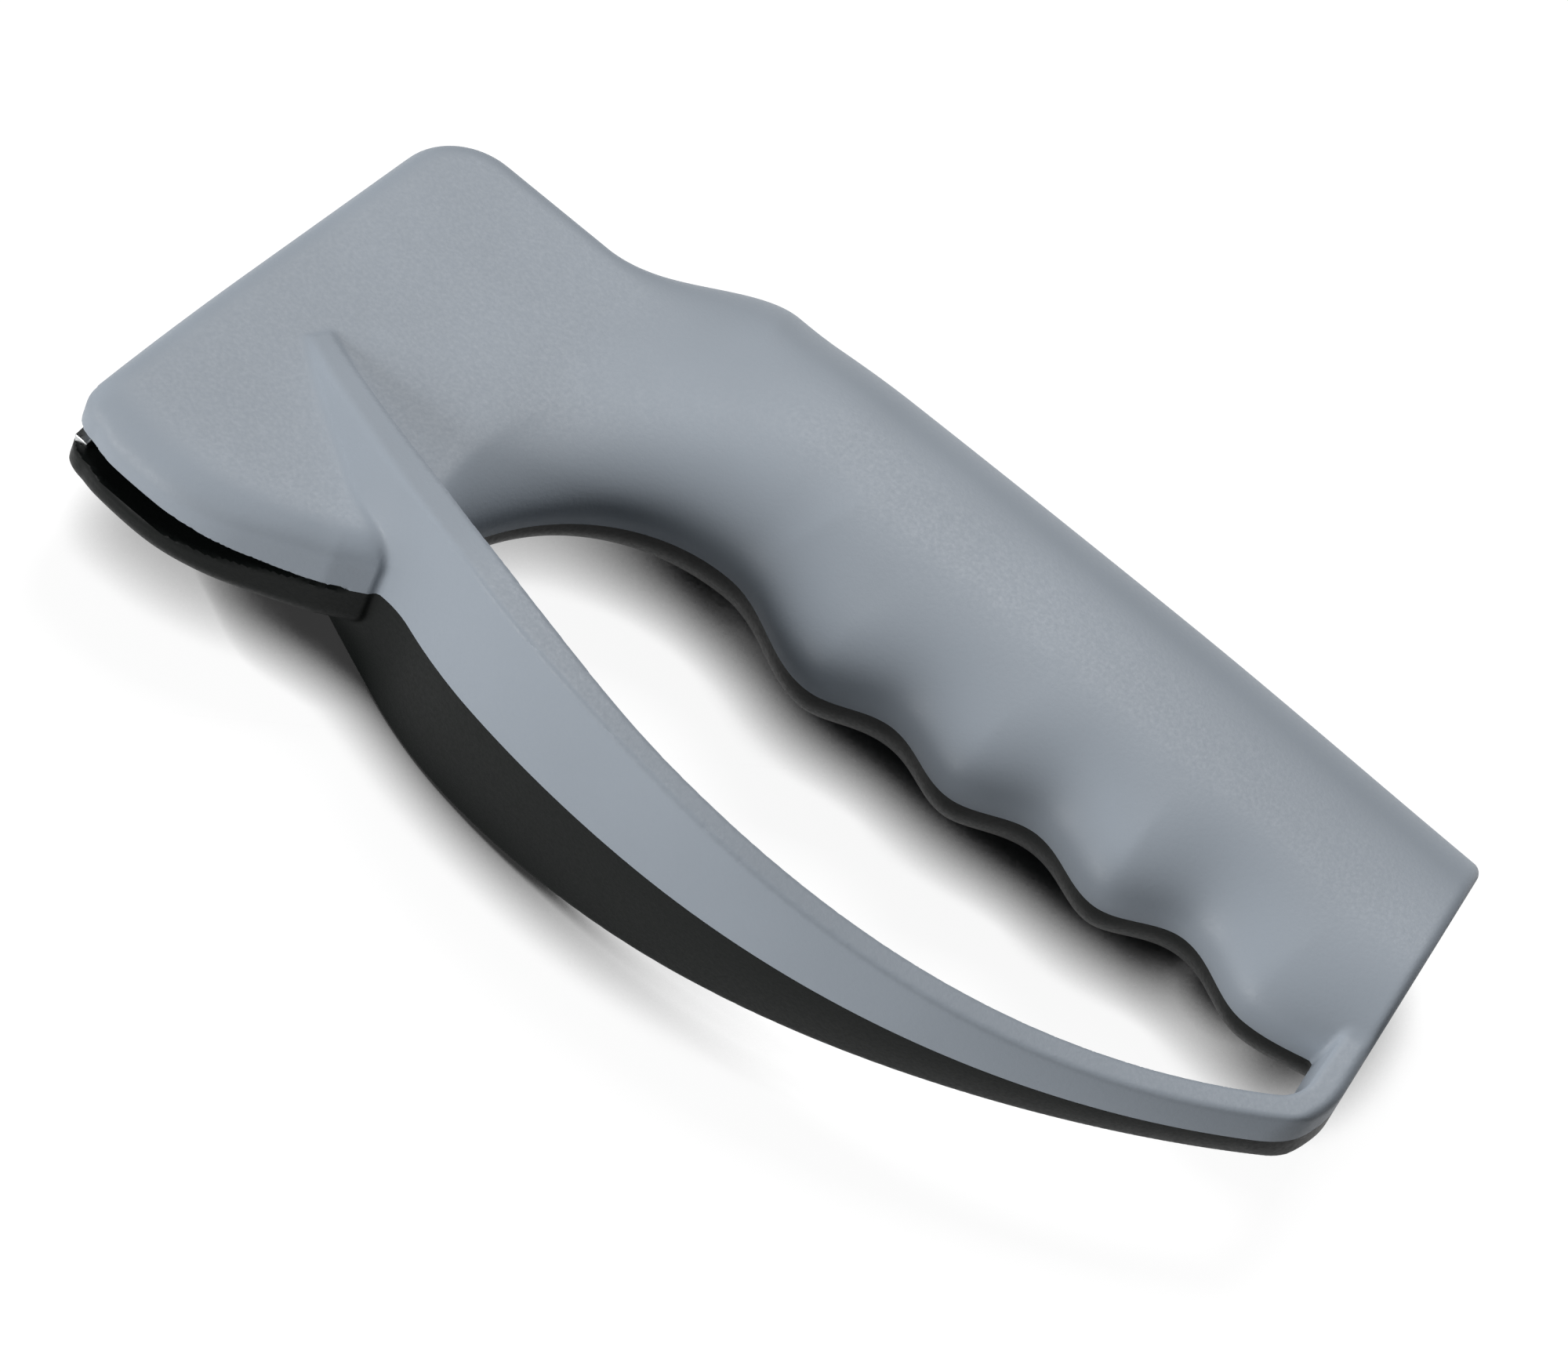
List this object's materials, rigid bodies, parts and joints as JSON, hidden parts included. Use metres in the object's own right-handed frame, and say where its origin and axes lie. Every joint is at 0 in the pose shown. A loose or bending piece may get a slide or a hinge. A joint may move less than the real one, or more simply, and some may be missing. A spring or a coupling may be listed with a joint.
{
  "type": "knife sharpener",
  "caption": "Hand-held pull-through knife sharpener: a two-tone moulded handle with finger rests, a curved knuckle guard and crossed carbide cutters in the slot of its flat head",
  "frame": {"origin": "bottom centre of the bounding box; the parting plane of the two shells is horizontal, half the guard's width above it", "axes": "+X runs along the grip from the head to the tail, +Y across it from the knife slot's lips towards the grip's back, +Z from the black rear shell to the grey front shell"},
  "size_m": [0.1422, 0.0752, 0.029],
  "materials": {
    "grey_plastic": "fine-grained moulded plastic, light grey",
    "black_plastic": "fine-grained moulded plastic, black",
    "carbide": "ground carbide, bright grey",
    "screw_steel": "plain zinc-plated screw steel"
  },
  "bodies": {
    "root": {"front_shell": "grey_plastic", "rear_shell": "black_plastic", "front_cutter": "carbide", "rear_cutter": "carbide", "shell_screws": "screw_steel"}
  },
  "joints": []
}
